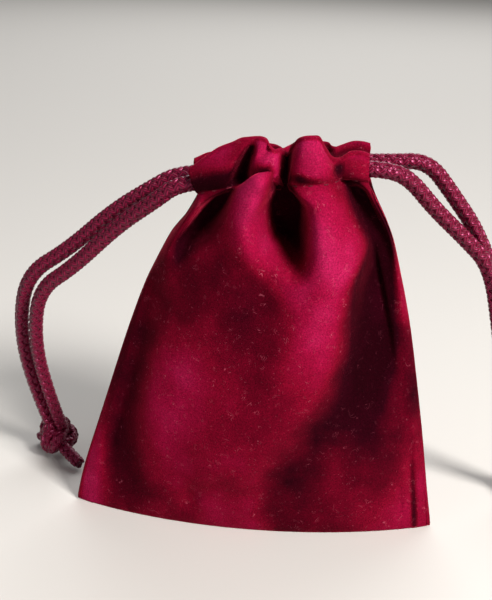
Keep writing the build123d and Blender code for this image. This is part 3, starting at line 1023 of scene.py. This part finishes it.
def hem_rows(side, stitch, top):
    """Rows over the rolled top edge and down the hem inside, and their painted shade and highlight."""
    rows, shading_rows = [], []
    for t in np.linspace(0, math.pi, ROLL_ROWS + 1)[1:]:
        row = top.copy()
        row[:, 1] -= side * ROLL_RADIUS * (1 - math.cos(t))
        row[:, 2] += ROLL_RADIUS * math.sin(t)
        rows.append(row)
        # painted highlight over the rolled top edge
        shading_rows.append(np.full(COLUMNS + 1, 0.5 * math.sin(t)))
    for t in np.linspace(1, 0, HEM_ROWS + 1)[1:]:
        row = stitch + (top - stitch) * t
        near_top = smooth((t - 0.70) / 0.30)
        under_roll = (row[:, 1] - side * 2 * ROLL_RADIUS) * near_top
        row[:, 1] = under_roll + side * HEM_FROM_MIDDLE * (1 - near_top)
        rows.append(row)
        # painted shade down the hem inside
        shading_rows.append(np.full(COLUMNS + 1, -0.4))
    return rows, shading_rows


def panel_grid(side):
    """The cloth of one side as a grid: base, belly, casing, rolled top edge and the hem inside.

    The second grid holds the painted shading: painted shade below 0 and painted highlight above it.
    """
    ring = ring_columns(FRONT_RING if side < 0 else BACK_RING)
    stitch = ring[:, :3]
    top = ring[:, 3:] - (0, 0, ROLL_RADIUS)
    body, painted_shading = body_rows(side, stitch)
    rows = [body[-1] * (1, 1 - t, 1) for t in np.linspace(0, 1, BASE_ROWS + 1)[1:]][::-1]
    shading_rows = [painted_shading[-1] for _ in rows]
    rows += list(body[::-1])
    shading_rows += list(painted_shading[::-1])
    for more_rows, more_shading_rows in (casing_rows(side, stitch, top), hem_rows(side, stitch, top)):
        rows += more_rows
        shading_rows += more_shading_rows
    return np.array(rows), np.clip(np.array(shading_rows), *PAINTED_SHADING_RANGE)


def grid_mesh(name, grid, flip):
    """A grid of points in millimetres as a smooth sheet."""
    rows, columns = grid.shape[:2]
    faces = []
    for i in range(rows - 1):
        for j in range(columns - 1):
            a = i * columns + j
            face = (a, a + 1, a + columns + 1, a + columns)
            faces.append(face[::-1] if flip else face)
    mesh = bpy.data.meshes.new(name)
    mesh.from_pydata((grid.reshape(-1, 3) * MM).tolist(), [], faces)
    mesh.polygons.foreach_set("use_smooth", [True] * len(mesh.polygons))
    mesh.update()
    return link(name, mesh)


def thicken(obj, thickness):
    """Gives a sheet its thickness, inwards, and applies it."""
    modifier = obj.modifiers.new("thickness", "SOLIDIFY")
    modifier.thickness = thickness * MM
    modifier.offset = -1.0
    bpy.context.view_layer.update()
    solid = bpy.data.meshes.new_from_object(obj.evaluated_get(bpy.context.evaluated_depsgraph_get()))
    obj.modifiers.clear()
    old = obj.data
    obj.data = solid
    bpy.data.meshes.remove(old)


def make_velvet(material):
    """The front and the back of the bag, each one thick sheet of cloth."""
    for name, side, body in (("front", -1, "front_lip"), ("back", 1, "back_lip")):
        grid, painted_shading = panel_grid(side)
        sheet = grid_mesh(name + "_velvet", grid, side > 0)
        sheet.data.materials.append(material)
        # painted shade and highlight, kept on the points for the velvet's colour
        shading_layer = sheet.data.attributes.new("painted_shading", "FLOAT", "POINT")
        shading_layer.data.foreach_set("value", painted_shading.ravel().astype(np.float32))
        thicken(sheet, CLOTH)
        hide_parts(name + "_panel", name + "_casing")
        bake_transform(sheet)


def make_casing_stitches(material):
    """Short stitches sunk in the pile along the line that closes the casing."""
    for name, side, body in (("front", -1, "front_lip"), ("back", 1, "back_lip")):
        ring = ring_columns(FRONT_RING if side < 0 else BACK_RING)[:, :3].copy()
        ring[:, 1] -= side * STITCH_SINK
        line = even(ring, 0.25)
        parts = MeshParts()
        stitch, gap = 7, 4
        for start in range(3, len(line) - stitch - 3, stitch + gap):
            piece = line[start:start + stitch].copy()
            sunk = np.linspace(-1, 1, stitch) ** 2
            piece[:, 1] -= side * 0.35 * sunk
            thread(parts, piece, 0.32)
        stitches = parts.finish(name + "_casing_thread", material)
        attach(stitches, body)
        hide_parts(name + "_casing_stitches")


def seam_line(side, inward, heights):
    """Points beside the left (-1) or right (1) seam, inward of it by a distance."""
    left, right, _, _ = level_at(heights)
    x = left + inward if side < 0 else right - inward
    return np.stack([x, np.zeros_like(x), heights], axis=-1)


def make_turnings(velvet, thread_stuff):
    """The two turned-in edges inside each side seam, and the stitches that hold them."""
    heights = np.linspace(1.0, TURNING_TOP, 90)
    for name, side in (("left", -1), ("right", 1)):
        inner = seam_line(side, TURNING_END + 0.25 * np.sin(heights * 1.1), heights)
        outer = seam_line(side, TURNING_START, heights)
        layers = MeshParts()
        for face in (-1, 1):
            rings = []
            for a, b in zip(outer, inner):
                across = [a + (b - a) * t for t in (0.0, 0.5, 1.0)]
                near = [p + (0, face * 0.03, 0) for p in across]
                far = [p + (0, face * TURNING_HALF, 0) for p in reversed(across)]
                rings.append(near + far)
            rings = np.array(rings)
            layers.tube(rings if face * side > 0 else rings[:, ::-1], heights)
        turning = layers.finish(name + "_seam_turning", velvet)
        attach(turning, "pouch")
        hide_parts(name + "_seam_allowance")
        stitches = MeshParts()
        for bottom in np.arange(3.0, TURNING_TOP - 3.0, 2.6):
            piece = seam_line(side, SEAM_STITCH_AT, np.linspace(bottom, bottom + 1.7, 8))
            sunk = np.linspace(-1, 1, 8) ** 2
            for face in (-1, 1):
                out = face * (TURNING_HALF + 0.1 - 0.3 * sunk)
                line = piece + np.stack([0 * sunk, out, 0 * sunk], axis=-1)
                thread(stitches, line, 0.3)
        sewn = stitches.finish(name + "_seam_thread", thread_stuff)
        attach(sewn, "pouch")
        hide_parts(name + "_seam_stitches")


make_camera()
materials = {"velvet": velvet_material(), "cord": cord_material(), "thread": thread_material()}
make_cords(materials["cord"])
make_velvet(materials["velvet"])
make_casing_stitches(materials["thread"])
make_turnings(materials["velvet"], materials["thread"])
make_stage()
